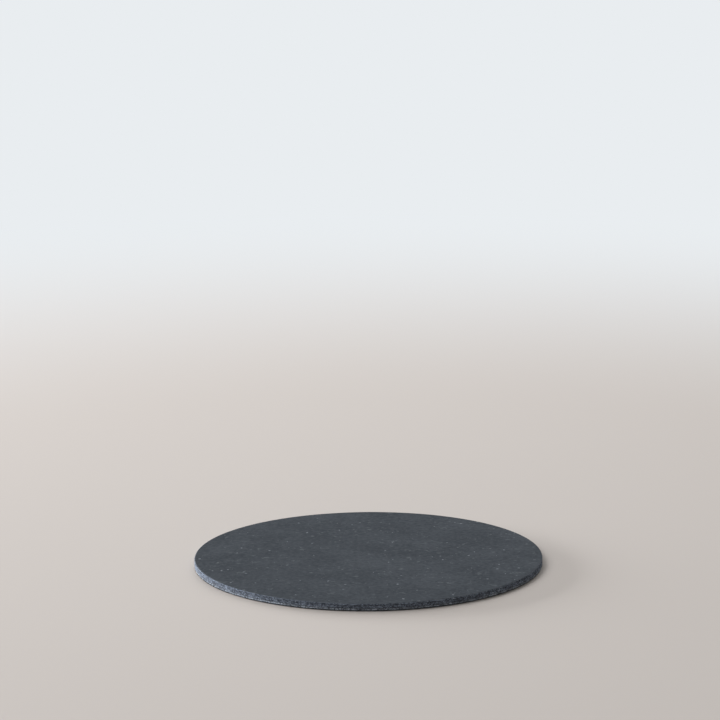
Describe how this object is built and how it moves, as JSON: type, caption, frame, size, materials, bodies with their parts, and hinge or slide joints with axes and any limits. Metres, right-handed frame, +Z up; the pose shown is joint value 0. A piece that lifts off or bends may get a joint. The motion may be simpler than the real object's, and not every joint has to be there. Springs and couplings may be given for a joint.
{
  "type": "drink coaster",
  "caption": "Thin flat round drink coaster: smooth matte skins bonded with adhesive film to a granular fibre core and die-cut to a circle.",
  "frame": {"origin": "centre of the underside, on the surface that the coaster lies on", "axes": "+Z up through the disc's centre, square to its faces; X and Y lie in the underside and are free to turn because the disc is round"},
  "size_m": [0.1, 0.1, 0.0022],
  "materials": {
    "face_skin": "matte",
    "fibre_core": "matte",
    "adhesive_film": "satin",
    "back_skin": "matte"
  },
  "bodies": {
    "root": {"face_skin": "face_skin", "upper_adhesive_film": "adhesive_film", "fibre_core": "fibre_core", "lower_adhesive_film": "adhesive_film", "back_skin": "back_skin"}
  },
  "joints": []
}
